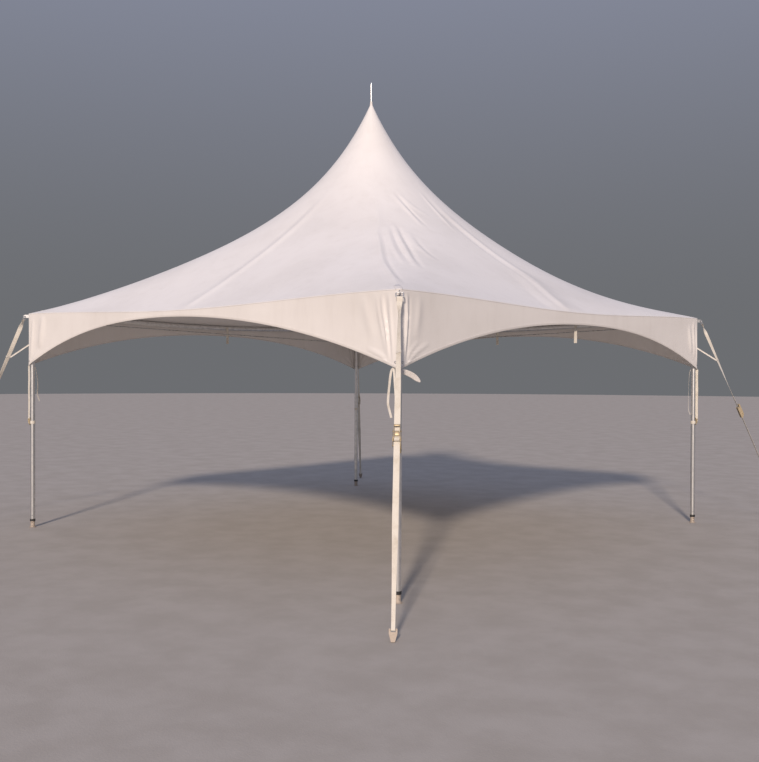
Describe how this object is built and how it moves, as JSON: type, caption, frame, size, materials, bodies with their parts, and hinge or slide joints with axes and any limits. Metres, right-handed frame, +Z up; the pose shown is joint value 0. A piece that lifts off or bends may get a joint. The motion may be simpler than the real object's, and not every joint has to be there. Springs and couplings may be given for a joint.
{
  "type": "frame marquee tent",
  "caption": "Square high-peak marquee with a taut white fabric roof, arched valances, tube frame and strap guys.",
  "frame": {"origin": "on the ground, straight under the peak, at the middle of the square plan", "axes": "+Z up; +X towards the middle of the front right side and +Y towards the middle of the back right side"},
  "size_m": [7.9936, 7.9936, 5.7],
  "materials": {
    "fabric": "white coated polyester, satin, lightly wrinkled",
    "tube": "plain drawn aluminium tube, satin with fine scratches",
    "galvanised": "galvanised steel, dull with faint spangle",
    "cable": "laid galvanised wire cable",
    "webbing": "cream woven polyester webbing, matte"
  },
  "bodies": {
    "root": {"roof_panel_front_right": "fabric", "valance_front_right": "fabric", "eave_tube_front_right": "tube", "roof_panel_back_right": "fabric", "valance_back_right": "fabric", "eave_tube_back_right": "tube", "roof_panel_back_left": "fabric", "valance_back_left": "fabric", "eave_tube_back_left": "tube", "roof_panel_front_left": "fabric", "valance_front_left": "fabric", "eave_tube_front_left": "tube", "leg_front": "tube", "foot_front": "galvanised", "corner_fitting_front": "galvanised", "mast_cable_front": "cable", "guy_ring_front": "galvanised", "guy_strap_front": "webbing", "ratchet_front": "galvanised", "stake_front": "galvanised", "leg_strap_front": "webbing", "leg_right": "tube", "foot_right": "galvanised", "corner_fitting_right": "galvanised", "mast_cable_right": "cable", "guy_ring_right": "galvanised", "guy_strap_right": "webbing", "ratchet_right": "galvanised", "stake_right": "galvanised", "leg_strap_right": "webbing", "leg_back": "tube", "foot_back": "galvanised", "corner_fitting_back": "galvanised", "mast_cable_back": "cable", "guy_ring_back": "galvanised", "guy_strap_back": "webbing", "ratchet_back": "galvanised", "stake_back": "galvanised", "leg_strap_back": "webbing", "leg_left": "tube", "foot_left": "galvanised", "corner_fitting_left": "galvanised", "mast_cable_left": "cable", "guy_ring_left": "galvanised", "guy_strap_left": "webbing", "ratchet_left": "galvanised", "stake_left": "galvanised", "leg_strap_left": "webbing", "crown": "galvanised", "mast": "tube", "mast_seat": "galvanised", "finial": "tube", "eave_strap_front_right": "webbing", "eave_strap_back_right": "webbing", "eave_strap_back_left": "webbing", "tie_strap_front": "webbing", "tie_strap_left": "webbing", "tie_strap_right": "webbing"}
  },
  "joints": []
}
